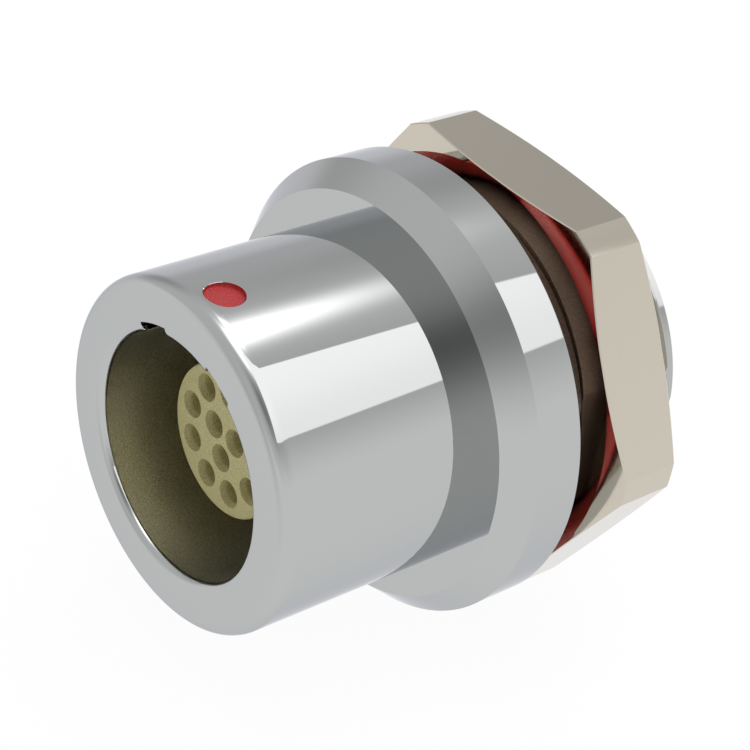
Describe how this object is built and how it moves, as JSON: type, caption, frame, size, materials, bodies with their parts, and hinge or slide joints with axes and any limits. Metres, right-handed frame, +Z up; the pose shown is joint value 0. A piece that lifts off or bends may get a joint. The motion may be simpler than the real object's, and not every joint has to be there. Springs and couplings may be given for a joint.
{
  "type": "circular connector receptacle",
  "caption": "Sealed push-pull panel receptacle: chromed round shell with flange, keyed mating bore with socket contacts, red flange seal and a hexagon nut on the rear thread.",
  "frame": {"origin": "on the connector's axis in the plane of the flange's rear face, where the panel seats", "axes": "+Y along the axis towards the solder side, so the mating face looks towards -Y; +Z up through the red alignment dot and midway between the keyways"},
  "size_m": [0.0268, 0.0287, 0.0254],
  "materials": {
    "chrome_shell": "bright chrome plate on brass",
    "nickel_nut": "bright nickel plate on brass",
    "red_enamel": "red enamel fill",
    "red_seal": "smooth red silicone",
    "pale_insulator": "moulded, pale yellow-olive, finely grained",
    "gold_contact": "gold plate on brass",
    "nickel_spring": "nickel plate on spring bronze",
    "nickel_ring": "nickel plate on brass",
    "nickel_carrier": "nickel plate on brass",
    "black_resin": "cast epoxy resin, glossy"
  },
  "bodies": {
    "receptacle": {"shell": "chrome_shell", "alignment_dot": "red_enamel", "flange_seal": "red_seal", "earthing_crown": "nickel_spring", "insulator_front": "pale_insulator", "insert_carrier_upper": "nickel_carrier", "insert_carrier_lower": "nickel_carrier", "insulator_rear": "pale_insulator", "retaining_ring": "nickel_ring", "sealing_compound": "black_resin", "contact_01": "gold_contact", "contact_02": "gold_contact", "contact_03": "gold_contact", "contact_04": "gold_contact", "contact_05": "gold_contact", "contact_06": "gold_contact", "contact_07": "gold_contact", "contact_08": "gold_contact", "contact_09": "gold_contact", "contact_10": "gold_contact", "contact_11": "gold_contact", "contact_12": "gold_contact"},
    "nut": {"hex_nut": "nickel_nut"}
  },
  "joints": [
    {"name": "nut_travel", "type": "slide", "parent": "receptacle", "child": "nut", "axis": [0, 1, 0], "range_m": [-0.001, 0.01]}
  ]
}
